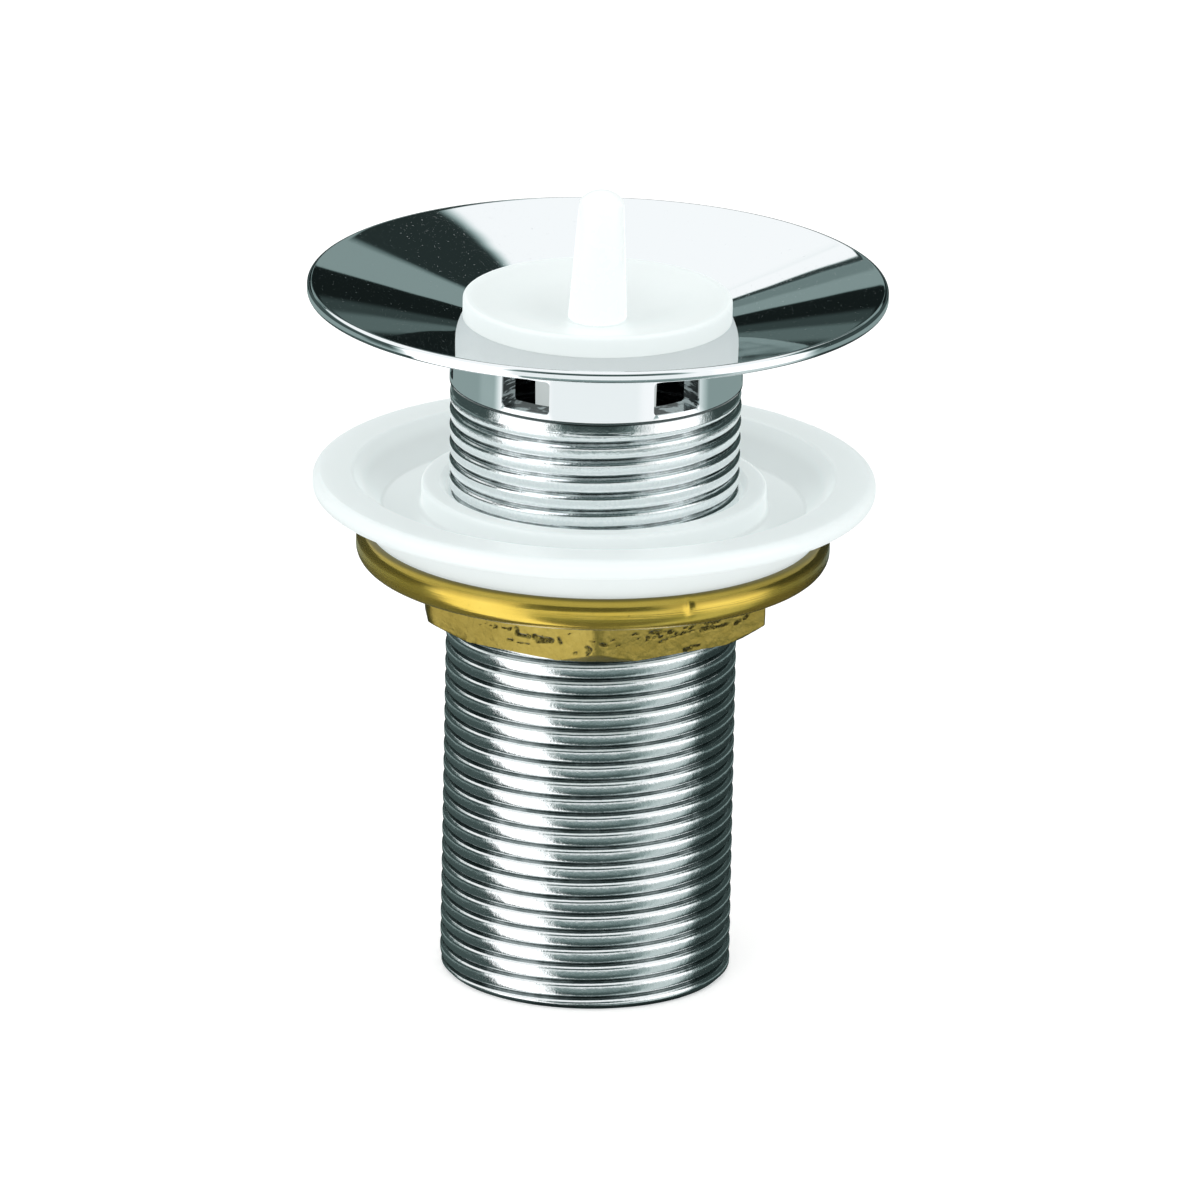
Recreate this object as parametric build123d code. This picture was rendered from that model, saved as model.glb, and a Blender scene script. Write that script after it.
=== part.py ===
from build123d import *
import os
from math import cos, radians, sqrt, tan

# Basin waste: a coned flange on a threaded tail with overflow slots in its neck,
# a lift-out plug with a finger peg, a dished washer and a flanged hexagon backnut.
# Millimetres. The origin is the centre of the tail's lower end, +Z runs up the
# tail to the flange, and -Y is the side that the neck's front pillar faces, but for a small turn.

# Driving sizes of the tail: the thread's crests, the plain neck above and the bore
thread_r = 20.95
thread_length = 88.9
thread_pitch = 2.54
thread_depth = 0.9
thread_root_width = 0.2
thread_angle_deg = 55.0
neck_oversize = 0.1
neck_height = 7.91
neck_wall = 3.85
neck_bore_below_thread_top = 10.0
tube_wall = 3.05
mouth_widening = 0.7
mouth_depth = 3.0
spigot_wall = 1.3
tail_end_chamfer = 0.9
bore_end_chamfer = 0.5

# Driving sizes of the overflow slots, in one group on each side of the front pillar
slot_width = 7.8
slot_sill = 0.7
slot_lintel = 2.31
slot_spacing_deg = 58.5
slot_turn_deg = 2.5
slots_each_side = 3
slot_group_turns = (90, 270)
slot_corner_r = 0.6
slot_overcut = 2.0

# Driving sizes of the flange
flange_r = 41.7
flange_slope_deg = 13.0
flange_thickness = 1.68
flange_rim_top_r = 0.6
flange_rim_bottom_r = 0.3

# Driving sizes of the plug and its peg
plug_seat_width = 1.45
plug_edge_height = 2.85
plug_lip_width = 1.2
plug_lip_r = 0.5
plug_hollow_slope_deg = 13.3
plug_wall = 1.8
skirt_depth = 2.6
stem_r = 8.9
stem_draft = 0.3
stem_below_seat = 15.5
stem_end_r = 0.5
peg_base_r = 4.25
peg_tip_r = 3.2
peg_height = 19.15
peg_dome_r = 4.1
peg_shoulder_r = 1.0
peg_base_round = 0.4
peg_pin_r = 2.45
peg_barb_overhang = 0.6
peg_barb_length = 2.2

# Driving sizes of the dished washer, its widths taken outwards from its hole
washer_hub_wall = 3.45
washer_floor_width = 5.7
washer_cone_width = 4.2
washer_rim_width = 5.8
washer_foot_overhang = 1.8
washer_height = 8.3
washer_floor = 3.3
washer_hub_height = 3.7
washer_rim_thickness = 3.0
washer_rim_edge_r = 1.2
washer_hub_edge_r = 0.5
washer_inner_edge_r = 0.6
washer_countersink = 0.9

# Driving sizes of the backnut
nut_sides = 6
nut_turn_deg = 2.0
nut_wall = 3.5
nut_hex_height = 7.0
nut_corner_r = 0.5
nut_chamfer_land = 1.1
nut_chamfer_deg = 36.0
nut_flange_overhang = 5.8
nut_flange_thickness = 4.75
nut_flange_top_r = 1.7
nut_flange_bottom_r = 2.2
nut_bore_chamfer = 0.6

# Clearances of the fits, and the height left under the neck's shoulder for the basin
braze_gap = 0.02
plug_seat_gap = 0.15
plug_side_gap = 0.25
peg_pin_gap = 0.05
washer_bore_gap = 0.3
thread_gap = 0.05
basin_gap = 22.23

# Radii and heights of the tail and flange, worked out from the sizes above
slope = tan(radians(flange_slope_deg))
flange_upright_thickness = flange_thickness / cos(radians(flange_slope_deg))
neck_r = thread_r + neck_oversize
neck_bore_r = neck_r - neck_wall
tube_bore_r = thread_r - tube_wall
mouth_r = neck_bore_r + mouth_widening
spigot_r = mouth_r + spigot_wall
shoulder_z = thread_length + neck_height

# Radii and heights of the backnut and washer, which hang under the basin
nut_bore_r = thread_r + thread_gap
nut_flat_r = nut_bore_r + nut_wall
nut_corner_reach = nut_flat_r / cos(radians(180 / nut_sides))
nut_flange_r = nut_corner_reach + nut_flange_overhang
washer_rim_z = shoulder_z - basin_gap
nut_top_z = washer_rim_z - washer_height
nut_flange_z = nut_top_z - nut_flange_thickness
nut_bottom_z = nut_flange_z - nut_hex_height


def flange_underside(r):
    """Height of the flange's coned underside, which rests on the neck's shoulder."""
    return shoulder_z + (r - neck_r) * slope


def flange_face(r):
    """Height of the flange's coned upper face."""
    return flange_underside(r) + flange_upright_thickness


def rounded(profile, corners):
    """The profile with its corners rounded, each given as a radius, a height and a rounding."""
    for r, z, rounding in corners:
        if rounding:
            corner = profile.vertices().sort_by_distance((r, z, 0))[0]
            profile = fillet(corner, rounding)
    return profile


def turned(*corners):
    """A solid turned about Z from its corners, each a radius, a height and a rounding."""
    outline = Polyline(*[(r, z) for r, z, _ in corners], close=True)
    return revolve(Plane.XZ * rounded(make_face(outline), corners), Axis.Z)


def overflow_slots():
    """Square-ended slots through the neck, in two groups, leaving a pillar front and back."""
    slot_height = neck_height - slot_sill - slot_lintel
    slot = Box(slot_width, neck_wall + 2 * slot_overcut, slot_height)
    slot = fillet(slot.edges().filter_by(Axis.Y), slot_corner_r)
    middle_r = neck_r - neck_wall / 2
    middle_z = thread_length + slot_sill + slot_height / 2
    slot = Pos(0, -middle_r, middle_z) * slot
    cuts = []
    for side in slot_group_turns:
        for place in range(slots_each_side):
            turn = side + slot_turn_deg + (place - (slots_each_side - 1) / 2) * slot_spacing_deg
            cuts.append(Rot(0, 0, turn) * slot)
    return cuts


def thread_grooves():
    """Corners of the thread's grooves from the tail's end up to the neck, one level ring for each turn."""
    root_r = thread_r - thread_depth
    root_reach = thread_root_width / 2
    crest_reach = root_reach + thread_depth * tan(radians(thread_angle_deg / 2))
    turns = int((thread_length - tail_end_chamfer) / thread_pitch)
    corners = []
    for turn in range(turns):
        middle_z = thread_length - thread_pitch * (turns - turn - 0.5)
        corners += [
            (thread_r, middle_z - crest_reach, 0),
            (root_r, middle_z - root_reach, 0),
            (root_r, middle_z + root_reach, 0),
            (thread_r, middle_z + crest_reach, 0),
        ]
    return corners


def make_tail():
    """The tube: threaded outside up to the neck, with a shoulder and a spigot for the flange."""
    mouth_z = flange_face(neck_bore_r)
    step_z = thread_length - neck_bore_below_thread_top
    step_rise = tube_bore_r - neck_bore_r
    tube = turned(
        (tube_bore_r + bore_end_chamfer, 0, 0),
        (thread_r - tail_end_chamfer, 0, 0),
        (thread_r, tail_end_chamfer, 0),
        *thread_grooves(),
        (thread_r, thread_length, 0),
        (neck_r, thread_length, 0),
        (neck_r, shoulder_z, 0),
        (spigot_r, flange_underside(spigot_r), 0),
        (spigot_r, flange_face(spigot_r), 0),
        (mouth_r, flange_face(mouth_r), 0),
        (neck_bore_r, mouth_z - mouth_depth, 0),
        (neck_bore_r, step_z + step_rise, 0),
        (tube_bore_r, step_z, 0),
        (tube_bore_r, bore_end_chamfer, 0),
    )
    for slot in overflow_slots():
        tube -= slot
    return tube


def make_flange():
    """The coned dish that lies in the basin's outlet, with a rounded rim."""
    hole_r = spigot_r + braze_gap
    return turned(
        (hole_r, flange_underside(hole_r), 0),
        (flange_r, flange_underside(flange_r), flange_rim_bottom_r),
        (flange_r, flange_face(flange_r), flange_rim_top_r),
        (hole_r, flange_face(hole_r), 0),
    )


plug_r = mouth_r + plug_seat_width
plug_seat_z = flange_face(plug_r) + plug_seat_gap
plug_lip_z = plug_seat_z + plug_edge_height
plug_hollow_r = plug_r - plug_lip_width
hollow_slope = tan(radians(plug_hollow_slope_deg))
peg_seat_r = peg_base_r + peg_base_round
peg_seat_z = plug_lip_z - (plug_hollow_r - peg_seat_r) * hollow_slope


def plug_ceiling(r):
    """Height of the plug's inner wall, one wall below its hollowed top."""
    return plug_lip_z - (plug_hollow_r - r) * hollow_slope - plug_wall


def make_plug():
    """The plug: hollowed disc, short tapered skirt for the mouth, hollow guide stem."""
    skirt_top_r = mouth_r - plug_side_gap
    skirt_bottom_r = skirt_top_r - skirt_depth * mouth_widening / mouth_depth
    skirt_top_z = flange_face(skirt_top_r) + plug_seat_gap
    skirt_bottom_z = skirt_top_z - skirt_depth
    skirt_inner_r = skirt_bottom_r - plug_wall
    stem_end_z = plug_seat_z - stem_below_seat
    stem_inner_r = stem_r - plug_wall
    pin_hole_r = peg_pin_r + peg_pin_gap
    return turned(
        (pin_hole_r, peg_seat_z, 0),
        (peg_seat_r, peg_seat_z, 0),
        (plug_hollow_r, plug_lip_z, plug_lip_r),
        (plug_r, plug_lip_z, plug_lip_r),
        (plug_r, plug_seat_z, 0),
        (skirt_top_r, skirt_top_z, 0),
        (skirt_bottom_r, skirt_bottom_z, plug_lip_r),
        (skirt_inner_r, skirt_bottom_z, plug_lip_r),
        (skirt_inner_r, plug_ceiling(skirt_inner_r), plug_lip_r),
        (stem_r, plug_ceiling(stem_r), 0),
        (stem_r - stem_draft, stem_end_z, stem_end_r),
        (stem_inner_r - stem_draft, stem_end_z, stem_end_r),
        (stem_inner_r, plug_ceiling(stem_inner_r), plug_lip_r),
        (peg_seat_r, peg_seat_z - plug_wall, 0),
        (pin_hole_r, peg_seat_z - plug_wall, 0),
    )


def make_peg():
    """The finger peg: tapered, with a low dome, and a barbed pin through the plug."""
    barb_r = peg_pin_r + peg_barb_overhang
    barb_top_z = peg_seat_z - plug_wall - peg_pin_gap
    pin_end_z = barb_top_z - peg_barb_length
    top_z = peg_seat_z + peg_height
    dome_centre_z = top_z - peg_dome_r
    tip_z = dome_centre_z + sqrt(peg_dome_r**2 - peg_tip_r**2)
    halfway_r = peg_tip_r / 2
    halfway_z = dome_centre_z + sqrt(peg_dome_r**2 - halfway_r**2)
    side = Polyline(
        (0, pin_end_z),
        (peg_pin_r - peg_barb_overhang, pin_end_z),
        (barb_r, barb_top_z),
        (peg_pin_r, barb_top_z),
        (peg_pin_r, peg_seat_z),
        (peg_base_r, peg_seat_z),
        (peg_tip_r, tip_z),
    )
    dome = ThreePointArc((peg_tip_r, tip_z), (halfway_r, halfway_z), (0, top_z))
    profile = make_face(side + dome + Line((0, top_z), (0, pin_end_z)))
    soft_corners = ((peg_base_r, peg_seat_z, peg_base_round), (peg_tip_r, tip_z, peg_shoulder_r))
    return revolve(Plane.XZ * rounded(profile, soft_corners), Axis.Z)


def make_washer():
    """The dished washer: flat foot on the nut, coned wall, broad rim and a hub round the tail."""
    foot_z = nut_top_z
    floor_z = foot_z + washer_floor
    rim_under_z = washer_rim_z - washer_rim_thickness
    hub_z = floor_z + washer_hub_height
    hole_r = neck_r + washer_bore_gap
    hub_r = hole_r + washer_hub_wall
    floor_r = hub_r + washer_floor_width
    rim_inner_r = floor_r + washer_cone_width
    rim_r = rim_inner_r + washer_rim_width
    foot_r = floor_r + washer_foot_overhang
    cone_slope = (washer_rim_z - floor_z) / washer_cone_width
    rim_under_r = foot_r + (rim_under_z - foot_z) / cone_slope
    return turned(
        (hole_r, foot_z, 0),
        (foot_r, foot_z, 0),
        (rim_under_r, rim_under_z, washer_inner_edge_r),
        (rim_r, rim_under_z, washer_rim_edge_r),
        (rim_r, washer_rim_z, washer_rim_edge_r),
        (rim_inner_r, washer_rim_z, washer_inner_edge_r),
        (floor_r, floor_z, washer_inner_edge_r),
        (hub_r, floor_z, washer_inner_edge_r),
        (hub_r, hub_z, washer_hub_edge_r),
        (hole_r + washer_countersink, hub_z, 0),
        (hole_r, hub_z - washer_countersink, 0),
    )


def hexagon_body():
    """The wrench hexagon, one corner near the front, its lower corners turned off to a cone."""
    turn = 180 / nut_sides + nut_turn_deg
    hexagon = RegularPolygon(nut_flat_r, nut_sides, major_radius=False, rotation=turn)
    prism = extrude(Pos(0, 0, nut_bottom_z) * hexagon, nut_hex_height)
    prism = fillet(prism.edges().filter_by(Axis.Z), nut_corner_r)
    chamfer_start_r = nut_flat_r + nut_chamfer_land
    chamfer_rise = (nut_corner_reach - chamfer_start_r) * tan(radians(nut_chamfer_deg))
    envelope = turned(
        (0, nut_bottom_z, 0),
        (chamfer_start_r, nut_bottom_z, 0),
        (nut_corner_reach, nut_bottom_z + chamfer_rise, 0),
        (nut_corner_reach, nut_flange_z, 0),
        (0, nut_flange_z, 0),
    )
    return prism & envelope


def make_nut():
    """The flanged backnut, running on the tail's thread."""
    nut_flange = turned(
        (0, nut_flange_z, 0),
        (nut_flange_r, nut_flange_z, nut_flange_bottom_r),
        (nut_flange_r, nut_top_z, nut_flange_top_r),
        (0, nut_top_z, 0),
    )
    bore = turned(
        (0, nut_bottom_z, 0),
        (nut_bore_r + nut_bore_chamfer, nut_bottom_z, 0),
        (nut_bore_r, nut_bottom_z + nut_bore_chamfer, 0),
        (nut_bore_r, nut_top_z - nut_bore_chamfer, 0),
        (nut_bore_r + nut_bore_chamfer, nut_top_z, 0),
        (0, nut_top_z, 0),
    )
    return hexagon_body() + nut_flange - bore


os.makedirs("parts", exist_ok=True)
pieces = {
    "threaded_tail": make_tail(),
    "coned_flange": make_flange(),
    "plug": make_plug(),
    "finger_peg": make_peg(),
    "dished_washer": make_washer(),
    "backnut": make_nut(),
}
for name, piece in pieces.items():
    export_step(piece, f"parts/{name}.step")
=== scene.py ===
"""Basin waste: looks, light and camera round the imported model.

Lengths are in metres, but in millimetres where a comment or a docstring says so.
"""

import math
import random
from collections import namedtuple

import bmesh
import bpy
import numpy as np
from mathutils import Matrix, Vector, noise


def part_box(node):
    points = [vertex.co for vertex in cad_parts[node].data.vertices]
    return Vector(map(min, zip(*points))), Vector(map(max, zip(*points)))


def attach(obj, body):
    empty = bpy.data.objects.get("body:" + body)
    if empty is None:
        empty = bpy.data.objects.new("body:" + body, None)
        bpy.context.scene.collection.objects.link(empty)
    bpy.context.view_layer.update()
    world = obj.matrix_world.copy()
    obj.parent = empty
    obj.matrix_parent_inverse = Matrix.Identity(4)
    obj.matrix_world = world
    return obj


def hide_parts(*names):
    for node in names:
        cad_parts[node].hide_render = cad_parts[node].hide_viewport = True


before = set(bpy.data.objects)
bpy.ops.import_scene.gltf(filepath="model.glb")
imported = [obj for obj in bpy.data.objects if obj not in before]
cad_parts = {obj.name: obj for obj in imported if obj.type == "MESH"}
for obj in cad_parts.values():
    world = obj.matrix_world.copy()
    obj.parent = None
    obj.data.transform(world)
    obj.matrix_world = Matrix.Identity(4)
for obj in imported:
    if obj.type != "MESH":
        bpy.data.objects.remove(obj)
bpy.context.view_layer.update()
mm = 0.001

# Sizes that the record and the solids give
neck_edge_z = 88.9 * mm
neck_r = 21.05 * mm
thread_r = 20.95 * mm
cone_slope = math.radians(13)
tail_low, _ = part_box("threaded_tail")
nut_low, nut_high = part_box("backnut")
_, plug_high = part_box("plug")
_, peg_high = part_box("finger_peg")
plug_r = plug_high.x
# Places closer than this count as the same
hair = 0.02 * mm
# Edges that turn by more than this stay sharp
sharp_angle = math.radians(40)


# Camera: at the front, above the horizon, turned a little about its own axis
camera_distance = 3.2
camera_elevation = math.radians(18.5)
camera_roll = math.radians(1.16)
# Width of what the picture shows at the part
frame_width = 0.1727
# In millimetres, as the camera has it
sensor_width = 36.0
aim = Vector((0.00119, 0, 0.05533))


def make_camera():
    """A long lens, far away, so that the picture is nearly free of perspective."""
    data = bpy.data.cameras.new("camera")
    data.sensor_width = sensor_width
    data.lens = sensor_width * camera_distance / frame_width
    data.clip_end = 50
    camera = bpy.data.objects.new("camera", data)
    bpy.context.scene.collection.objects.link(camera)
    back = Vector((0, -math.cos(camera_elevation), math.sin(camera_elevation)))
    turn = (-back).to_track_quat("-Z", "Y").to_matrix().to_4x4()
    roll = Matrix.Rotation(camera_roll, 4, "Z")
    camera.matrix_world = Matrix.Translation(aim + back * camera_distance) @ turn @ roll
    bpy.context.scene.camera = camera


# Shader nodes
def feed(tree, socket, value):
    """Links an output to a socket, or sets a plain value on it."""
    if isinstance(value, bpy.types.NodeSocket):
        tree.links.new(value, socket)
    else:
        socket.default_value = value


def maths(tree, operation, *values):
    """The output of a sum on outputs or plain numbers."""
    node = tree.nodes.new("ShaderNodeMath")
    node.operation = operation
    for socket, value in zip(node.inputs, values):
        feed(tree, socket, value)
    return node.outputs[0]


def rise(tree, value, place, softness):
    """0 below a place and 1 above it, with a smooth step between."""
    node = tree.nodes.new("ShaderNodeMapRange")
    node.interpolation_type = "SMOOTHSTEP"
    feed(tree, node.inputs["Value"], value)
    node.inputs["From Min"].default_value = place - softness / 2
    node.inputs["From Max"].default_value = place + softness / 2
    return node.outputs["Result"]


def window(tree, value, low, high, softness):
    """1 between two places and 0 outside them."""
    above = rise(tree, value, low, softness)
    below = maths(tree, "SUBTRACT", 1.0, rise(tree, value, high, softness))
    return maths(tree, "MULTIPLY", above, below)


def mixed(tree, share, first, second):
    """A number that goes from the first to the second."""
    node = tree.nodes.new("ShaderNodeMix")
    feed(tree, node.inputs["Factor"], share)
    feed(tree, node.inputs["A"], first)
    feed(tree, node.inputs["B"], second)
    return node.outputs["Result"]


def mixed_colour(tree, share, first, second):
    """A colour that goes from the first to the second."""
    node = tree.nodes.new("ShaderNodeMix")
    node.data_type = "RGBA"
    sockets = {s.identifier: s for s in node.inputs}
    feed(tree, sockets["Factor_Float"], share)
    feed(tree, sockets["A_Color"], first)
    feed(tree, sockets["B_Color"], second)
    return {s.identifier: s for s in node.outputs}["Result_Color"]


def grain(tree, scale, detail=4.0, roughness=0.6, stretch=(1, 1, 1)):
    """Noise in the object's own metres, from 0 to 1. The scale is in waves per metre."""
    place = tree.nodes.new("ShaderNodeTexCoord")
    mapping = tree.nodes.new("ShaderNodeMapping")
    mapping.inputs["Scale"].default_value = stretch
    node = tree.nodes.new("ShaderNodeTexNoise")
    node.inputs["Scale"].default_value = scale
    node.inputs["Detail"].default_value = detail
    node.inputs["Roughness"].default_value = roughness
    tree.links.new(place.outputs["Object"], mapping.inputs["Vector"])
    tree.links.new(mapping.outputs["Vector"], node.inputs["Vector"])
    return node.outputs["Fac"]


def own_place(tree):
    """The three coordinates of a place on the object, in metres."""
    place = tree.nodes.new("ShaderNodeTexCoord")
    split = tree.nodes.new("ShaderNodeSeparateXYZ")
    tree.links.new(place.outputs["Object"], split.inputs[0])
    return split.outputs


def bump(tree, height, distance, strength=1.0, under=None):
    """A normal that a height between 0 and 1 tilts, over another bump where one is given."""
    node = tree.nodes.new("ShaderNodeBump")
    node.inputs["Strength"].default_value = strength
    node.inputs["Distance"].default_value = distance
    feed(tree, node.inputs["Height"], height)
    if under:
        feed(tree, node.inputs["Normal"], under)
    return node.outputs["Normal"]


# Surroundings: a white tent with dark cards, as bands of direction.
# Bearings are in degrees from the back (+Y) or the front (-Y), growing towards +X,
# heights are degrees above the horizon.
Card = namedtuple("Card", "side left right low high soft_side soft_high light")
tent_light = 0.98
room_light = 0.97
# The dark parts of what the metal mirrors are a little green
shade_colour = (0.64, 0.98, 0.94, 1)
white = (1, 1, 1, 1)
# The upright neck mirrors only what lies just above this height
edge_below = -18.9
cards = (
    # The dark sides of the room, which reach higher on the right
    Card("front", -180, -84, edge_below, 26, 10, 10, 0.075),
    Card("front", 94, 180, edge_below, 30, 14, 14, 0.06),
    Card("front", 94, 150, 20, 48, 14, 8, 0.05),
    # Lit panels beside the camera
    Card("front", -80, -31, edge_below, 40, 6, 8, 1.5),
    Card("front", 50, 88, edge_below, 30, 12, 8, 1.4),
    # Grey bands that the left and right sides of the neck mirror
    Card("front", -180, -104, -21, -14, 8, 1.5, 0.33),
    Card("front", 98, 180, -21, -14, 8, 1.5, 0.31),
    # Lower than the neck mirrors, so seen mostly in the thread and the nut
    Card("front", -180, 180, -90, edge_below, 1, 0.8, 0.04),
    Card("front", -180, -84, -60, edge_below, 8, 0.8, 0.085),
    Card("front", -31, 52, -50, edge_below, 6, 0.8, 0.28),
    Card("front", -31, 52, -74, -34, 6, 16, 0.09),
    Card("front", -78, -31, -90, edge_below, 4, 0.8, 1.5),
    Card("front", 52, 92, -90, edge_below, 20, 0.8, 0.66),
    # The front, behind the camera: bright low down and dark above, darkest in the middle
    Card("front", -36, 36, edge_below, 2, 10, 0.8, 0.9),
    Card("front", -36, 36, -2, 50, 10, 8, 0.16),
    Card("front", -24, 24, 4, 30, 8, 12, 0.05),
    # The back, which the dish mirrors: bearings towards +X in its left side, the others in its right
    Card("back", -25, 25, -12, 28.4, 4, 0.6, 0.29),
    Card("back", -25, 3, 26.2, 29.4, 3, 0.5, 0.98),
    Card("back", 3, 25, 28.4, 38.5, 3, 1.6, 0.028),
    Card("back", -25, 3, 25.0, 26.2, 3, 0.4, 0.04),
    Card("back", -25, 3, 22.0, 25.0, 3, 1.0, 0.21),
    Card("back", -25, 3, -12, 17.6, 3, 0.7, 0.011),
    Card("back", 3, 25, -12, 19.6, 3, 0.5, 0.011),
    Card("back", -25, 25, -12, 11.0, 3, 2.0, 0.05),
    Card("back", -25, 25, 1.8, 7.0, 3, 2.0, 0.13),
    Card("back", -25, 25, -12, 1.2, 3, 1.0, 0.03),
)


def make_surroundings():
    """Polished metal mirrors the cards; the eye and all matt surfaces meet plain white."""
    world = bpy.data.worlds.new("surroundings")
    world.use_nodes = True
    tree = world.node_tree
    tree.nodes.clear()
    place = tree.nodes.new("ShaderNodeTexCoord")
    split = tree.nodes.new("ShaderNodeSeparateXYZ")
    tree.links.new(place.outputs["Generated"], split.inputs[0])
    x, y, z = split.outputs
    height = maths(tree, "DEGREES", maths(tree, "ARCSINE", z))
    behind = maths(tree, "MULTIPLY", y, -1.0)
    bearing = {
        "front": maths(tree, "DEGREES", maths(tree, "ARCTAN2", x, behind)),
        "back": maths(tree, "DEGREES", maths(tree, "ARCTAN2", x, y)),
    }
    light = tent_light
    for card in cards:
        across = window(tree, bearing[card.side], card.left, card.right, card.soft_side)
        upright = window(tree, height, card.low, card.high, card.soft_high)
        light = mixed(tree, maths(tree, "MULTIPLY", across, upright), light, card.light)
    tint = mixed_colour(tree, light, shade_colour, white)
    path = tree.nodes.new("ShaderNodeLightPath")
    mirrored = path.outputs["Is Glossy Ray"]
    colour = mixed_colour(tree, mirrored, white, tint)
    unmirrored = mixed(tree, path.outputs["Is Camera Ray"], room_light, 1.0)
    strength = mixed(tree, mirrored, unmirrored, light)
    background = tree.nodes.new("ShaderNodeBackground")
    output = tree.nodes.new("ShaderNodeOutputWorld")
    tree.links.new(colour, background.inputs["Color"])
    tree.links.new(strength, background.inputs["Strength"])
    tree.links.new(background.outputs[0], output.inputs[0])
    world.cycles.sampling_method = "NONE"
    bpy.context.scene.world = world


floor_reach = 12.0
floor_glow = 0.32


def make_floor():
    """A plain pale floor, which the polished metal doesn't mirror."""
    mesh = bpy.data.meshes.new("floor")
    corners = (-1, -1), (1, -1), (1, 1), (-1, 1)
    mesh.from_pydata([(x * floor_reach, y * floor_reach, 0) for x, y in corners], [], [(0, 1, 2, 3)])
    floor = bpy.data.objects.new("floor", mesh)
    bpy.context.scene.collection.objects.link(floor)
    floor.visible_glossy = False
    material = bpy.data.materials.new("floor")
    material.use_nodes = True
    shader = material.node_tree.nodes["Principled BSDF"]
    shader.inputs["Base Color"].default_value = (0.93, 0.93, 0.93, 1)
    shader.inputs["Roughness"].default_value = 0.9
    shader.inputs["Specular IOR Level"].default_value = 0.0
    shader.inputs["Emission Color"].default_value = white
    shader.inputs["Emission Strength"].default_value = floor_glow
    mesh.materials.append(material)


lamp_place = Vector((-0.6, -1.5, 0.9))
lamp_target = Vector((0, 0, 0.05))
lamp_size = 1.0
lamp_power = 3.5


def make_lamp():
    """A soft square lamp in front on the left, which the metal doesn't mirror."""
    data = bpy.data.lights.new("soft_lamp", "AREA")
    data.size = lamp_size
    data.energy = lamp_power
    lamp = bpy.data.objects.new("soft_lamp", data)
    bpy.context.scene.collection.objects.link(lamp)
    lamp.location = lamp_place
    lamp.rotation_euler = (lamp_place - lamp_target).to_track_quat("Z", "Y").to_euler()
    lamp.visible_glossy = False


# Materials: scales of grain are in waves per metre, distances of bumps in metres
chrome_colour = (0.93, 0.965, 0.985, 1)
chrome_roughness = 0.03


def new_material(name):
    """A material with its node tree and its shader."""
    material = bpy.data.materials.new(name)
    material.use_nodes = True
    tree = material.node_tree
    return material, tree, tree.nodes["Principled BSDF"]


def reach_from_axis(tree):
    """Distance of a place on the object from its Z axis."""
    x, y, _ = own_place(tree)
    squares = maths(tree, "MULTIPLY", x, x), maths(tree, "MULTIPLY", y, y)
    return maths(tree, "SQRT", maths(tree, "ADD", *squares))


def ripple_slightly(tree, shader):
    """Gives plating its very slight waves."""
    waves = grain(tree, 55, 2.0, 0.4)
    feed(tree, shader.inputs["Normal"], bump(tree, waves, 0.00005))


def polished_chrome():
    """Mirror plating with faint waves and specks."""
    material, tree, shader = new_material("polished chrome")
    shader.inputs["Metallic"].default_value = 1.0
    shader.inputs["Base Color"].default_value = chrome_colour
    specks = rise(tree, grain(tree, 2600, 3.0, 0.7), 0.68, 0.08)
    feed(tree, shader.inputs["Roughness"], mixed(tree, specks, chrome_roughness, 0.3))
    ripple_slightly(tree, shader)
    return material


# Depth under the neck's outside at which the walls of its slots turn dull and dark with painted shade
slot_shade_start = 0.35 * mm


def neck_chrome():
    """Mirror plating outside; on the walls of the slots, dull and darkened with painted shade, in
    lighter streaks.
    """
    material, tree, shader = new_material("neck chrome")
    shader.inputs["Metallic"].default_value = 1.0
    outside = rise(tree, reach_from_axis(tree), neck_r - slot_shade_start, 0.3 * mm)
    inside = maths(tree, "SUBTRACT", 1.0, outside)
    streaks = rise(tree, grain(tree, 420, 3.0, 0.6, stretch=(0.5, 0.5, 4)), 0.56, 0.08)
    # Painted shade: the walls inside go nearly black, with lighter streaks
    shaded_wall = mixed_colour(tree, streaks, (0.05, 0.06, 0.062, 1), (0.6, 0.66, 0.68, 1))
    feed(tree, shader.inputs["Base Color"], mixed_colour(tree, inside, chrome_colour, shaded_wall))
    feed(tree, shader.inputs["Roughness"], mixed(tree, inside, chrome_roughness, 0.22))
    ripple_slightly(tree, shader)
    return material


# Painted shade in the thread's root lies deeper than this under its crests, and there is more of it
# below this height
root_shade_depth = 0.34 * mm
root_shade_below_z = 66 * mm
# Height of the painted shadow line under the neck's lower edge
neck_shadow_height = 0.6 * mm


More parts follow.
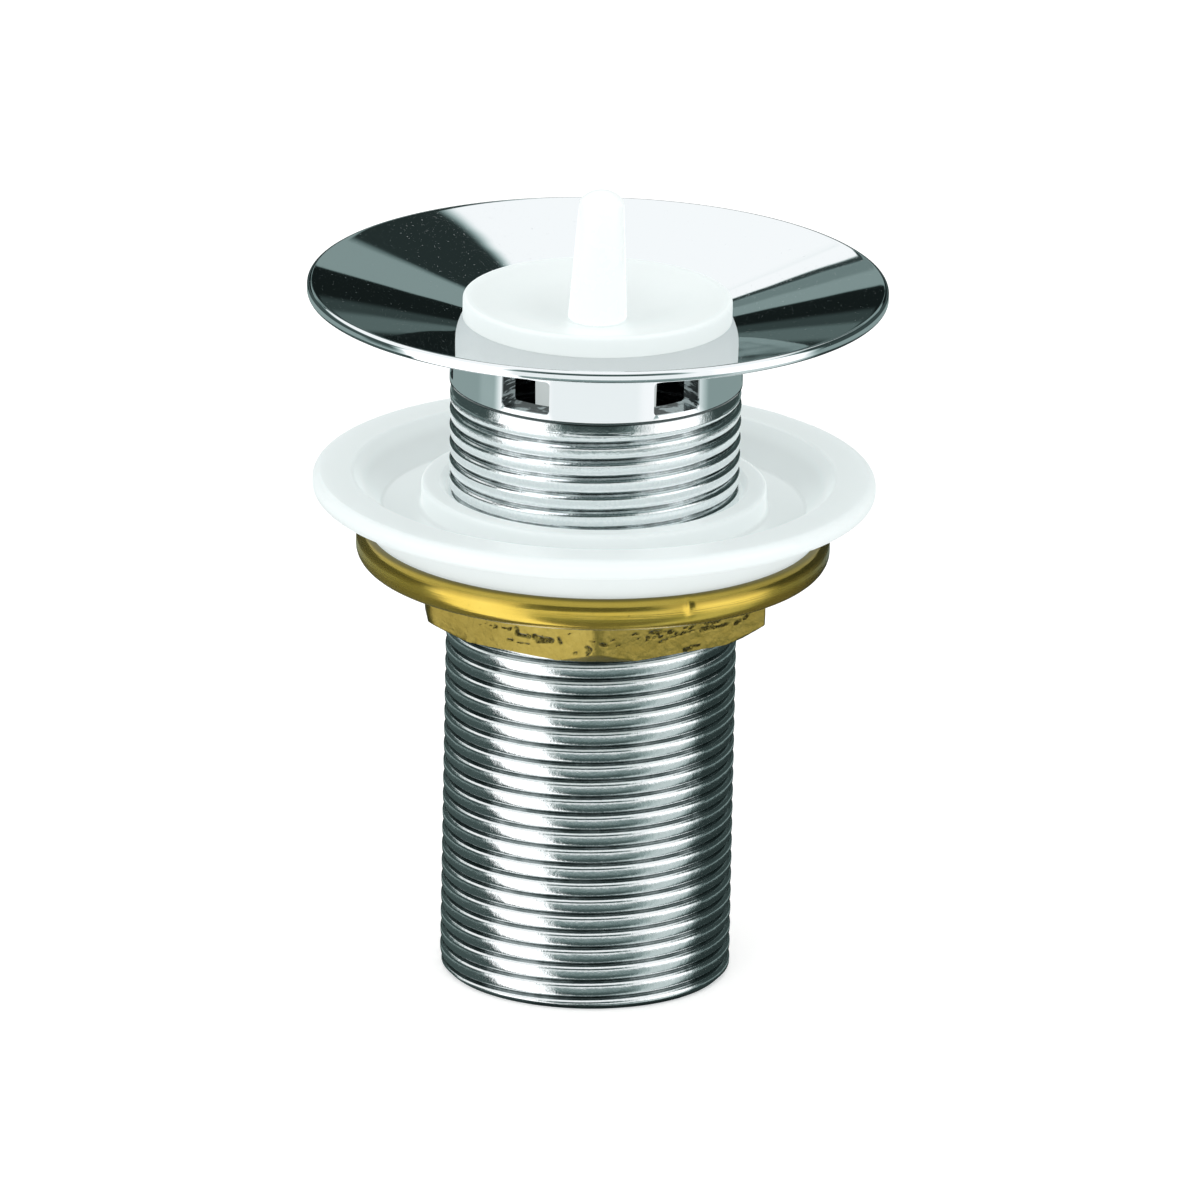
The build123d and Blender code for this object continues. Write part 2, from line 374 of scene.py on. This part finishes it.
def thread_chrome():
    """Plating over the cut thread: a little duller, finely grained, with painted shade in its root and
    a painted shadow under the neck.
    """
    material, tree, shader = new_material("thread chrome")
    shader.inputs["Metallic"].default_value = 1.0
    shade = grain(tree, 2200, 4.0, 0.75)
    colour = mixed_colour(tree, shade, (0.72, 0.78, 0.80, 1), white)
    height = own_place(tree)[2]
    # The painted shade in the root lies in patches, with less of it on the upper thread
    crest = rise(tree, reach_from_axis(tree), thread_r - root_shade_depth, 0.1 * mm)
    deep = maths(tree, "SUBTRACT", 1.0, crest)
    patches = rise(tree, grain(tree, 170, 4.0, 0.65), 0.5, 0.3)
    above = rise(tree, height, root_shade_below_z, 4 * mm)
    between, within = mixed(tree, above, 0.66, 0.1), mixed(tree, above, 1.0, 0.62)
    root_shade = mixed(tree, patches, between, within)
    root_shade = maths(tree, "MULTIPLY", deep, root_shade)
    # Painted shade darkens the root
    colour = mixed_colour(tree, root_shade, colour, (0.27, 0.31, 0.31, 1))
    # A painted shadow: dark, just under the neck's lower edge
    neck_shadow = rise(tree, height, neck_edge_z - neck_shadow_height, 0.16 * mm)
    colour = mixed_colour(tree, neck_shadow, colour, (0.08, 0.1, 0.1, 1))
    feed(tree, shader.inputs["Base Color"], colour)
    feed(tree, shader.inputs["Roughness"], mixed(tree, grain(tree, 420, 3.0), 0.05, 0.18))
    chatter = bump(tree, grain(tree, 200, 2.0, 0.5), 0.00012)
    pits = bump(tree, grain(tree, 1900, 4.0, 0.7), 0.00004, 0.7, chatter)
    feed(tree, shader.inputs["Normal"], pits)
    return material


# Painted shade on the nut's flange, under the washer and towards the right: it starts this far below
# its upper face, and from this X on its right end
shoulder_shade_height = 1.25 * mm
right_end_x = 31 * mm


def turned_brass():
    """The nut's polished flange: faint rings left by the tool, a few nicks, painted shade under the
    washer and on its right.
    """
    material, tree, shader = new_material("turned brass")
    shader.inputs["Metallic"].default_value = 0.86
    shade = grain(tree, 180, 3.0)
    colour = mixed_colour(tree, shade, (0.64, 0.455, 0.065, 1), (0.765, 0.56, 0.11, 1))
    x, _, z = own_place(tree)
    # Painted shade: the shoulder and the upper face under the washer, more so to the right, and the
    # right end go dark
    shoulder = rise(tree, z, nut_high.z - shoulder_shade_height, 0.8 * mm)
    more_to_the_right = mixed(tree, rise(tree, x, 22 * mm, 30 * mm), 0.5, 0.85)
    upper_face = rise(tree, z, nut_high.z - 0.2 * mm, 0.3 * mm)
    right_end = mixed(tree, rise(tree, x, right_end_x, 9 * mm), 0.0, 0.75)
    painted_shade = maths(tree, "MULTIPLY", shoulder, more_to_the_right)
    painted_shade = mixed(tree, upper_face, painted_shade, 1.0)
    painted_shade = maths(tree, "MAXIMUM", painted_shade, right_end)
    colour = mixed_colour(tree, painted_shade, colour, (0.16, 0.125, 0.02, 1))
    feed(tree, shader.inputs["Base Color"], colour)
    feed(tree, shader.inputs["Roughness"], mixed(tree, grain(tree, 700, 3.0), 0.13, 0.24))
    rings = bump(tree, grain(tree, 60, 3.0, 0.6, stretch=(1, 1, 60)), 0.00003)
    nicks = rise(tree, grain(tree, 900, 2.0), 0.74, 0.1)
    feed(tree, shader.inputs["Normal"], bump(tree, nicks, 0.00004, 0.6, rings))
    return material


def cast_brass():
    """The nut's raw hexagon: grainy, with brown cavities whose edges are ragged."""
    material, tree, shader = new_material("cast brass")
    shader.inputs["Metallic"].default_value = 1.0
    cavity = tree.nodes.new("ShaderNodeAttribute")
    cavity.attribute_name = "cavity"
    ragged = maths(tree, "SUBTRACT", grain(tree, 1500, 4.0, 0.7), 0.5)
    ragged = maths(tree, "MULTIPLY", ragged, 2.4)
    hollow = rise(tree, maths(tree, "ADD", cavity.outputs["Fac"], ragged), 0.9, 0.45)
    shade = grain(tree, 420, 5.0, 0.65)
    colour = mixed_colour(tree, shade, (0.34, 0.25, 0.045, 1), (0.56, 0.44, 0.12, 1))
    # Painted shade on its left end and its right half
    x = own_place(tree)[0]
    left_end_shade = mixed(tree, rise(tree, x, -12 * mm, 10 * mm), 0.3, 0.0)
    painted_shade = mixed(tree, rise(tree, x, 1 * mm, 6 * mm), left_end_shade, 0.3)
    colour = mixed_colour(tree, painted_shade, colour, (0.12, 0.085, 0.01, 1))
    colour = mixed_colour(tree, hollow, colour, (0.07, 0.055, 0.015, 1))
    feed(tree, shader.inputs["Base Color"], colour)
    feed(tree, shader.inputs["Roughness"], mixed(tree, grain(tree, 900, 4.0), 0.3, 0.48))
    sand = bump(tree, grain(tree, 1500, 5.0, 0.7), 0.00012, 0.7)
    lumps = bump(tree, grain(tree, 330, 3.0), 0.0003, 0.7, sand)
    solid = maths(tree, "SUBTRACT", 1.0, hollow)
    feed(tree, shader.inputs["Normal"], bump(tree, solid, 0.00012, 0.8, lumps))
    return material


# Where the painted glow of the white pieces changes: round the peg, at the plug's rim and up the washer
plug_middle_r = 11 * mm
plug_rim_width = 0.5 * mm
washer_middle_z = 72.9 * mm


def plug_painted_glow(tree):
    """Painted light and shade: the plug's painted glow is least round the peg and most at its rim,
    which lies on the bright dish.
    """
    r = reach_from_axis(tree)
    inner = mixed(tree, rise(tree, r, plug_middle_r, 10 * mm), 0.87, 0.99)
    return mixed(tree, rise(tree, r, plug_r - plug_rim_width, 0.6 * mm), inner, 1.07)


def washer_painted_glow(tree):
    """Painted shade: the washer's floor glows a little less than its rim."""
    return mixed(tree, rise(tree, own_place(tree)[2], washer_middle_z, 1.6 * mm), 0.86, 1.0)


def white_plastic(name, colour, glow, roughness, depth, glow_mirrored=1.0, painted_glow_shape=None):
    """Moulded white plastic with light scattered under its surface, and a painted glow, an emission
    that stands in for the light that fills it. Metal mirrors glow_mirrored times its glow.
    """
    material, tree, shader = new_material(name)
    duller = [c * 0.975 for c in colour[:3]] + [1]
    mottled = mixed_colour(tree, grain(tree, 90, 3.0), duller, colour)
    feed(tree, shader.inputs["Base Color"], mottled)
    uneven = mixed(tree, grain(tree, 260, 3.0), roughness, roughness + 0.1)
    feed(tree, shader.inputs["Roughness"], uneven)
    shader.inputs["IOR"].default_value = 1.49
    shader.inputs["Subsurface Weight"].default_value = 0.55
    shader.inputs["Subsurface Radius"].default_value = (depth, depth * 1.05, depth * 1.1)
    shader.inputs["Subsurface Scale"].default_value = 1.0
    # The emission is painted light: a glow that stands in for light in the plastic
    shader.inputs["Emission Color"].default_value = (0.92, 1.0, 0.99, 1)
    mirrored = tree.nodes.new("ShaderNodeLightPath").outputs["Is Glossy Ray"]
    strength = mixed(tree, mirrored, glow, glow * glow_mirrored)
    if painted_glow_shape:
        strength = maths(tree, "MULTIPLY", strength, painted_glow_shape(tree))
    feed(tree, shader.inputs["Emission Strength"], strength)
    feed(tree, shader.inputs["Normal"], bump(tree, grain(tree, 140, 3.0), 0.00003))
    return material


# Pieces and their meshes
def dress(node, material):
    """Gives a CAD node its material."""
    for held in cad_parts[node].material_slots:
        held.material = material


def add_piece(name, mesh, body, slot, *materials):
    """Makes a mesh a piece of the model, which rides on one of its bodies."""
    piece = bpy.data.objects.new(name, mesh)
    bpy.context.scene.collection.objects.link(piece)
    for material in materials:
        mesh.materials.append(material)
    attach(piece, body)
    return piece


def bare_copy(node):
    """A copy of a CAD node's mesh, without its materials."""
    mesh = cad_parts[node].data.copy()
    mesh.materials.clear()
    return mesh


def shade_smooth(mesh):
    """Shades every face of a mesh smooth."""
    mesh.polygons.foreach_set("use_smooth", [True] * len(mesh.polygons))


def ring_places(radius, bearing, z):
    """Places on rings round Z, as rows of x, y and z."""
    return np.stack([radius * np.cos(bearing), radius * np.sin(bearing), z], axis=-1).reshape(-1, 3)


def ring_quads(lower, upper, columns):
    """The quads between two rings of vertices, each ring given by the number of its first one."""
    quads = []
    for column in range(columns):
        after = (column + 1) % columns
        quads.append((lower + column, lower + after, upper + after, upper + column))
    return quads


# Thread of the tail, cut to a right-hand helix
thread_depth = 0.9 * mm
thread_pitch = 2.54 * mm
thread_start = math.radians(-26)
thread_columns = 160
# Turns that the strip has beyond the tail's two ends, one of them below, before it is cut off
thread_spare_turns = 3
# The level rings of the solid's outside lie no deeper than this under its crests
below_root = 1.0 * mm
# The level groove under the neck, in millimetres inwards from the thread's crest
# and down from the neck's edge
relief = (
    (-0.10, 0.00),
    (-0.10, 0.33),
    (0.40, 0.35),
    (0.34, 0.50),
    (0.27, 0.75),
    (0.19, 1.10),
    (0.11, 1.45),
    (0.08, 1.60),
    (0.06, 1.80),
)
# Each point of the thread's profile is a share of the pitch, upwards from the root,
# and a share of the depth, inwards from the crest
thread_profile = (
    (0.00, 1.000),
    (0.03, 0.630),
    (0.21, 0.205),
    (0.27, 0.135),
    (0.35, 0.075),
    (0.45, 0.035),
    (0.57, 0.010),
    (0.65, 0.000),
    (0.69, 0.002),
    (0.73, 0.008),
    (0.76, 0.020),
    (0.82, 0.075),
    (0.835, 0.115),
    (0.89, 0.272),
    (0.905, 0.315),
    (0.95, 0.620),
    (0.995, 0.980),
)


def thread_mesh():
    """One strip that winds up the tail, cut off level at both ends, and the groove above it."""
    root_r = thread_r - thread_depth
    top_inwards, top_down = (size * mm for size in relief[-1])
    strip_top = neck_edge_z - top_down
    turns = math.ceil((strip_top - tail_low.z) / thread_pitch) + thread_spare_turns
    rows = len(thread_profile) * turns
    share = np.array([turn + up for turn in range(-1, turns - 1) for up, _ in thread_profile])
    depth = np.array([deep for _ in range(turns) for _, deep in thread_profile])
    angles = np.arange(thread_columns) * 2 * math.pi / thread_columns
    turned = (angles + thread_start) / (2 * math.pi)
    raw_z = (share[:, None] + turned[None, :]) * thread_pitch
    radius = np.repeat((thread_r - depth * thread_depth)[:, None], thread_columns, axis=1)
    # The tail's lower end is chamfered, from the root outwards
    radius = np.minimum(radius, root_r + np.maximum(raw_z, 0))
    radius = np.where(raw_z > strip_top, thread_r - top_inwards, radius)
    z = np.clip(raw_z, 0, strip_top)
    places = ring_places(radius, angles, z).tolist()
    quads = []
    for row in range(rows - 1):
        for column in range(thread_columns):
            first, second = row * thread_columns + column, row * thread_columns + column + 1
            if column == thread_columns - 1:
                second = (row + len(thread_profile)) * thread_columns
            if second + thread_columns < rows * thread_columns:
                quads.append((first, second, second + thread_columns, first + thread_columns))
    for ring, (inwards, down) in enumerate(reversed(relief)):
        base = len(places)
        r, level = thread_r - inwards * mm, neck_edge_z - down * mm
        places += [(r * math.cos(angle), r * math.sin(angle), level) for angle in angles]
        if ring:
            quads += ring_quads(base - thread_columns, base, thread_columns)
    mesh = bpy.data.meshes.new("tail_thread")
    mesh.from_pydata(places, [], quads)
    form = bmesh.new()
    form.from_mesh(mesh)
    bmesh.ops.remove_doubles(form, verts=form.verts, dist=0.001 * mm)
    bmesh.ops.dissolve_degenerate(form, edges=form.edges, dist=0.0005 * mm)
    form.to_mesh(mesh)
    form.free()
    shade_smooth(mesh)
    return mesh


def tail_without_thread():
    """The tail's own mesh less its ringed outside, which the cut thread takes the place of."""
    mesh = bare_copy("threaded_tail")
    form = bmesh.new()
    form.from_mesh(mesh)
    ringed = []
    for face in form.faces:
        radii = [math.hypot(v.co.x, v.co.y) for v in face.verts]
        heights = [v.co.z for v in face.verts]
        outside = min(radii) > thread_r - below_root and max(radii) < thread_r + hair
        if outside and max(heights) < neck_edge_z + hair and max(heights) - min(heights) > hair:
            ringed.append(face)
    bmesh.ops.delete(form, geom=ringed, context="FACES")
    form.to_mesh(mesh)
    form.free()
    return mesh


# Flange: the same form as the solid's, finely divided for its mirror finish
flange_columns = 720
flange_rim_steps = 10
flange_r = 41.7 * mm
flange_hole_r = 19.22 * mm
flange_thickness = 1.68 * mm
flange_rim_top_r = 0.6 * mm
flange_rim_bottom_r = 0.3 * mm
shoulder_z = 96.81 * mm


def flange_mesh():
    """The coned dish, turned about Z: underside, rounded rim, upper face."""
    def cone_z(r, lift):
        return shoulder_z + (r - neck_r) * math.tan(cone_slope) + lift / math.cos(cone_slope)

    profile = [(flange_hole_r, cone_z(flange_hole_r, 0))]
    for rounding, lift, start, end in (
        (flange_rim_bottom_r, flange_rim_bottom_r, cone_slope - math.pi / 2, 0),
        (flange_rim_top_r, flange_thickness - flange_rim_top_r, 0, cone_slope + math.pi / 2),
    ):
        centre_r = flange_r - rounding
        centre_z = cone_z(centre_r, lift)
        for step in range(flange_rim_steps + 1):
            turn = start + (end - start) * step / flange_rim_steps
            r, z = centre_r + rounding * math.cos(turn), centre_z + rounding * math.sin(turn)
            profile.append((r, z))
    # Rings close to the rounding, which keep its shading off the straight faces
    beside_r = flange_r - 2 * flange_rim_top_r
    profile.insert(1, (beside_r, cone_z(beside_r, 0)))
    profile.append((beside_r, cone_z(beside_r, flange_thickness)))
    profile.append((flange_hole_r, cone_z(flange_hole_r, flange_thickness)))
    angles = [2 * math.pi * column / flange_columns for column in range(flange_columns)]
    places = [(r * math.cos(angle), r * math.sin(angle), z) for r, z in profile for angle in angles]
    quads = []
    for ring in range(len(profile)):
        above = (ring + 1) % len(profile)
        quads += ring_quads(ring * flange_columns, above * flange_columns, flange_columns)
    mesh = bpy.data.meshes.new("polished_flange")
    mesh.from_pydata(places, [], quads)
    shade_smooth(mesh)
    mesh.set_sharp_from_angle(angle=sharp_angle)
    return mesh


# Backnut: cast hexagon with cavities, turned flange
nut_bottom = nut_low.z
nut_top = nut_high.z
nut_flange_r = nut_high.x
nut_bore_r = 21.0 * mm
nut_flat_r = 24.5 * mm
nut_flange_thickness = 4.75 * mm
nut_flange_bottom_r = 2.2 * mm
nut_flange_top_r = 1.7 * mm
nut_bore_chamfer = 0.6 * mm
nut_fillet = 0.5 * mm
nut_chamfer_r = 25.6 * mm
nut_chamfer_slope = math.tan(math.radians(36))
nut_turn_deg = 2.0
nut_columns = 960
nut_side_steps = 44
nut_fillet_steps = 3
nut_rounding_steps = 8
# Share of the side's rings that lie on the chamfer
nut_chamfer_share = 0.1
quarter_turn = math.radians(90)
# Half the angle that one side of the hexagon spans
half_side = math.radians(30)
# Rounding of each corner, by its bearing from +X before the nut's own turn
nut_corners = {30: 1.0 * mm, 90: 1.0 * mm, 150: 1.0 * mm, 210: 2.6 * mm, 270: 2.2 * mm, 330: 0.5 * mm}
# Cavities of the casting: bearing in degrees from the front and height in millimetres of the
# two ends, half width and depth
Cavity = namedtuple("Cavity", "start start_z end end_z half depth")
cavities = (
    Cavity(-26, 58.1, -25.5, 57.4, 0.28, 0.45),
    Cavity(-25.5, 57.3, -21, 57.3, 0.26, 0.45),
    Cavity(-19, 57.4, -17, 57.2, 0.42, 0.55),
    Cavity(-16.5, 57.3, -13, 57.3, 0.36, 0.5),
    Cavity(-18, 56.8, -15, 57.0, 0.24, 0.3),
    Cavity(-10.5, 57.9, -9.5, 57.2, 0.2, 0.25),
    Cavity(-29, 56.2, -27.5, 56.2, 0.18, 0.25),
    Cavity(-26, 56.0, -21, 56.1, 0.09, 0.15),
    Cavity(-5, 56.0, -4.5, 56.2, 0.16, 0.2),
    Cavity(-1, 57.3, 0, 57.0, 0.26, 0.4),
    Cavity(0, 56.9, -1, 56.2, 0.2, 0.3),
    Cavity(3, 57.9, 4.5, 57.7, 0.24, 0.35),
    Cavity(20, 58.4, 23.5, 58.3, 0.28, 0.3),
    Cavity(23.5, 56.7, 26.5, 57.0, 0.16, 0.22),
    Cavity(27, 57.0, 37, 57.6, 0.07, 0.12),
    Cavity(40, 57.5, 43.5, 57.6, 0.34, 0.42),
    Cavity(41.5, 58.3, 46.5, 58.2, 0.2, 0.2),
    Cavity(44.5, 57.4, 49.5, 57.6, 0.2, 0.24),
    Cavity(52.5, 57.4, 54, 57.8, 0.24, 0.28),
    Cavity(55.5, 58.0, 56.5, 58.4, 0.2, 0.2),
    Cavity(33.5, 54.8, 36, 55.0, 0.3, 0.35),
    Cavity(37, 55.2, 39, 55.2, 0.18, 0.2),
)
# Swarms of small pits: bearings between which they lie, middle height, spread, number, half width
Swarm = namedtuple("Swarm", "start end middle_z spread count half")
swarms = (
    Swarm(-40, -28, 57.9, 0.18, 10, 0.12),
    Swarm(18, 36, 58.0, 0.3, 18, 0.18),
    Swarm(-8, 16, 57.4, 1.2, 8, 0.13),
    Swarm(95, 150, 57.8, 0.9, 16, 0.2),
    Swarm(-165, -105, 57.0, 0.8, 14, 0.2),
)
# How far a cavity and the dark stain round it reach from its middle, in half widths
cavity_reach = 1.25
stain_reach = 1.8
# A nick in the flange's upper edge: bearing from the front, then millimetres
nick_deg = 24.3
nick_z = 65.3
nick_half = 0.55
nick_depth = 0.3
# The badly filled corner at the front on the left, by its bearing from +X
slump_deg = 196
slump_spread_deg = 34
slump_height = 5.4 * mm
slump_depth = 1.3 * mm
# The casting's skin, in millimetres: how far it lies inside the hexagon, and the height of its
# lumps and of its finer grain. Waves are per millimetre
skin_depth = 0.07
lump_height = 0.07
fine_height = 0.022
lump_waves = 0.55
fine_waves = 2.1
wobble_waves = 2.6


def scattered_cavities():
    """The pits of all swarms, each swarm with its own seed."""
    pits = []
    for seed, swarm in enumerate(swarms):
        draw = random.Random(seed)
        for _ in range(swarm.count):
            bearing = draw.uniform(swarm.start, swarm.end)
            z = draw.gauss(swarm.middle_z, swarm.spread)
            half = swarm.half * draw.uniform(0.6, 1.2)
            end = bearing + draw.uniform(0.2, 1.4)
            end_z = z + draw.uniform(-0.1, 0.2)
            pits.append(Cavity(bearing, z, end, end_z, half, half))
    return tuple(pits)


def hexagon_radius(bearing):
    """Reach of the rounded hexagon at a bearing in radians from +X."""
    degrees = (math.degrees(bearing) - nut_turn_deg) % 360
    corner = int(degrees // 60) * 60 + 30
    rounding = nut_corners[corner]
    off_corner = math.radians(abs(degrees - corner))
    off_flat = half_side - off_corner
    inner = nut_flat_r - rounding
    if off_flat <= math.atan(inner * math.tan(half_side) / nut_flat_r):
        return nut_flat_r / math.cos(off_flat)
    centre = inner / math.cos(half_side)
    return centre * math.cos(off_corner) + math.sqrt(rounding**2 - (centre * math.sin(off_corner)) ** 2)


def slumped(bearing, z):
    """How far the badly filled corner falls in at a bearing and height."""
    off = (math.degrees(bearing) - slump_deg) / slump_spread_deg
    sideways = math.exp(-(off**2) * 1.2)
    downwards = max(0.0, 1 - (z - nut_bottom) / slump_height)
    return slump_depth * sideways * downwards**1.7


def nut_rings():
    """Each ring's kind and what gives its radius and height at a bearing, from the bore's lower
    edge outwards, up the outside and back down the bore.
    """
    rings = []

    def add(kind, radius, height):
        rings.append((kind, radius, height))

    def add_turned(radius, height):
        add("turned", lambda bearing: radius, lambda bearing: height)

    flange_z = nut_top - nut_flange_thickness
    add_turned(nut_bore_r + nut_bore_chamfer, nut_bottom)
    for share in (0.35, 0.7, 0.93):
        add(
            "cast",
            lambda bearing, share=share: bottom_radius(bearing, share),
            lambda bearing: nut_bottom,
        )
    for step in range(nut_side_steps + 1):
        share = step / nut_side_steps
        add(
            "cast",
            lambda bearing, share=share: side_radius(bearing, share),
            lambda bearing, share=share: side_height(bearing, share),
        )
    for step in range(1, nut_fillet_steps + 1):
        turn = quarter_turn * step / nut_fillet_steps
        outwards, below_flange = nut_fillet * (1 - math.cos(turn)), nut_fillet * (1 - math.sin(turn))
        add(
            "cast",
            lambda bearing, outwards=outwards: hexagon_radius(bearing) + outwards,
            lambda bearing, below_flange=below_flange: flange_z - below_flange,
        )
    turns = [quarter_turn * step / nut_rounding_steps for step in range(nut_rounding_steps + 1)]
    low_centre = nut_flange_r - nut_flange_bottom_r
    for turn in turns:
        height = flange_z + nut_flange_bottom_r * (1 - math.cos(turn))
        add_turned(low_centre + nut_flange_bottom_r * math.sin(turn), height)
    high_centre = nut_flange_r - nut_flange_top_r
    for turn in turns:
        height = nut_top - nut_flange_top_r * (1 - math.sin(turn))
        add_turned(high_centre + nut_flange_top_r * math.cos(turn), height)
    add_turned(nut_bore_r + nut_bore_chamfer, nut_top)
    add_turned(nut_bore_r, nut_top - nut_bore_chamfer)
    add_turned(nut_bore_r, nut_bottom + nut_bore_chamfer)
    return rings


def lower_edge(bearing):
    """Radius and height where the hexagon's flat side starts, over the chamfer where there is one."""
    reach = hexagon_radius(bearing)
    chamfer = max(0.0, reach - nut_chamfer_r)
    return reach, nut_bottom + chamfer * nut_chamfer_slope


def bottom_radius(bearing, share):
    """Radius at a share of the way from the bore's edge to the hexagon's lower edge."""
    inner = nut_bore_r + nut_bore_chamfer
    outer = min(hexagon_radius(bearing), nut_chamfer_r) - slumped(bearing, nut_bottom)
    return inner + (outer - inner) * share


def side_height(bearing, share):
    """Height at a share of the side's rings: the first follow the chamfer, the rest climb the flat."""
    top = nut_top - nut_flange_thickness - nut_fillet
    _, edge_z = lower_edge(bearing)
    if share < nut_chamfer_share:
        return nut_bottom + (edge_z - nut_bottom) * share / nut_chamfer_share
    return edge_z + (top - edge_z) * (share - nut_chamfer_share) / (1 - nut_chamfer_share)


def side_radius(bearing, share):
    """Radius at the same share of the side's rings."""
    reach, _ = lower_edge(bearing)
    start = min(reach, nut_chamfer_r)
    straight = start + (reach - start) * min(1.0, share / nut_chamfer_share)
    return straight - slumped(bearing, side_height(bearing, share))


def cavity_depth(front, up, wobble):
    """How deep the casting's cavities are in millimetres, and how dark from 0 to 1.

    The places on the hexagon are given by their bearing from the front in degrees and their
    height in millimetres. The wobble makes the edges ragged.
    """
    arc = math.radians(1) * nut_flat_r / mm
    across = front * arc
    deepest, dark = np.zeros_like(front), np.zeros_like(front)
    for hole in cavities + scattered_cavities():
        run_x, run_z = (hole.end - hole.start) * arc, hole.end_z - hole.start_z
        from_x, from_z = across - hole.start * arc, up - hole.start_z
        along = np.clip((from_x * run_x + from_z * run_z) / max(run_x**2 + run_z**2, 1e-9), 0, 1)
        gap = np.hypot(from_x - run_x * along, from_z - run_z * along) / hole.half + wobble
        inside = np.clip(cavity_reach - gap, 0, 1)
        deepest = np.maximum(deepest, hole.depth * inside**2 * (3 - 2 * inside))
        dark = np.maximum(dark, np.clip(stain_reach - gap, 0, 1))
    return deepest, dark


def nut_mesh():
    """The whole nut as rings, worked out in millimetres: turned flange and bore, cast hexagon."""
    rings = nut_rings()
    bearings = [2 * math.pi * column / nut_columns for column in range(nut_columns)]
    radius = np.array([[reach(bearing) for bearing in bearings] for _, reach, _ in rings]) / mm
    up = np.array([[level(bearing) for bearing in bearings] for _, _, level in rings]) / mm
    bearing = np.array(bearings)[None, :]
    # Bearing from the front in degrees, growing to the right of the picture
    front = (np.degrees(bearing) + 270) % 360 - 180 + np.zeros_like(radius)
    cast = np.array([kind == "cast" for kind, _, _ in rings])[:, None]
    places = ring_places(radius, bearing, up)
    lump = [noise.fractal(Vector(place) * lump_waves, 1.0, 2.0, 4) for place in places]
    fine = [noise.fractal(Vector(place) * fine_waves, 0.8, 2.0, 3) for place in places]
    wobble = [noise.noise(Vector(place) * wobble_waves) * 0.5 for place in places]
    lump, fine, wobble = (np.array(values).reshape(radius.shape) for values in (lump, fine, wobble))
    deep, dark = cavity_depth(front, up, wobble)
    radius -= cast * (skin_depth + lump_height * lump + fine_height * fine + deep)
    nick_x = (front - nick_deg) * math.radians(1) * nut_flange_r / mm / nick_half
    nick_up = (up - nick_z) / (2 * nick_half)
    # Only the flange reaches this far out
    outer = radius > 0.9 * nut_flange_r / mm
    radius -= outer * nick_depth * np.exp(-(nick_x**2) - nick_up**2)
    places = ring_places(radius, bearing, up) * mm
    quads, material_numbers = [], []
    for ring in range(len(rings)):
        above = (ring + 1) % len(rings)
        raw = rings[ring][0] == "cast" and rings[above][0] == "cast"
        quads += ring_quads(ring * nut_columns, above * nut_columns, nut_columns)
        material_numbers += [int(raw)] * nut_columns
    mesh = bpy.data.meshes.new("nut_casting")
    mesh.from_pydata(places.tolist(), [], quads)
    mesh.polygons.foreach_set("material_index", material_numbers)
    cavity = mesh.attributes.new("cavity", "FLOAT", "POINT")
    cavity.data.foreach_set("value", (dark * cast).reshape(-1).tolist())
    shade_smooth(mesh)
    mesh.set_sharp_from_angle(angle=sharp_angle)
    return mesh


# The plug's rim, which is let down onto the dish
plug_edge_height = 2.85 * mm
plug_low_edge_z = plug_high.z - plug_edge_height
plug_seat_inner_r = plug_r - 1.75 * mm
plug_seat_drop = 0.14 * mm


def seated_plug_mesh():
    """The plug's own mesh with its rim's underside let down onto the dish, as its weight does."""
    mesh = bare_copy("plug")
    for vertex in mesh.vertices:
        r = math.hypot(vertex.co.x, vertex.co.y)
        underside_z = plug_low_edge_z + (r - plug_r) * math.tan(cone_slope)
        if r > plug_seat_inner_r and vertex.co.z < underside_z + hair:
            vertex.co.z -= plug_seat_drop
    return mesh


# The peg leans a little to the right of the picture
peg_height = 19.15 * mm
peg_lean = 0.0165


def leaning_peg_mesh():
    """The peg's own mesh, leaning from its base upwards."""
    mesh = bare_copy("finger_peg")
    base_z = peg_high.z - peg_height
    for vertex in mesh.vertices:
        vertex.co.x += peg_lean * max(0.0, vertex.co.z - base_z)
    return mesh


make_camera()
make_surroundings()
make_floor()
make_lamp()
bpy.context.scene.view_settings.view_transform = "Standard"

chrome = polished_chrome()
dress("coned_flange", chrome)
plug_plastic = white_plastic(
    "plug plastic",
    colour=(0.36, 0.378, 0.378, 1),
    glow=0.565,
    roughness=0.34,
    depth=4.0 * mm,
    glow_mirrored=0.66,
    painted_glow_shape=plug_painted_glow,
)
dress("plug", plug_plastic)
peg_plastic = white_plastic(
    "peg plastic",
    colour=(0.5, 0.5, 0.5, 1),
    glow=0.55,
    roughness=0.22,
    depth=3.0 * mm,
)
dress("finger_peg", peg_plastic)
washer_plastic = white_plastic(
    "washer plastic",
    colour=(0.44, 0.462, 0.464, 1),
    glow=0.51,
    roughness=0.3,
    depth=4.0 * mm,
    glow_mirrored=1.15,
    painted_glow_shape=washer_painted_glow,
)
dress("dished_washer", washer_plastic)

flange = add_piece("polished_flange", flange_mesh(), "waste_body", "chrome", chrome)
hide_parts("coned_flange")
neck = add_piece("tail_neck_and_bore", tail_without_thread(), "waste_body", "chrome", neck_chrome())
thread = add_piece("tail_cut_thread", thread_mesh(), "waste_body", "chrome", thread_chrome())
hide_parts("threaded_tail")
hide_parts("threaded_tail")

plug = add_piece("plug_on_dish", seated_plug_mesh(), "plug", "plug_plastic", plug_plastic)
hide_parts("plug")
peg = add_piece("leaning_peg", leaning_peg_mesh(), "plug", "peg_plastic", peg_plastic)
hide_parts("finger_peg")

nut = add_piece("nut_casting", nut_mesh(), "nut", "brass", turned_brass(), cast_brass())
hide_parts("backnut")
nut.visible_glossy = False
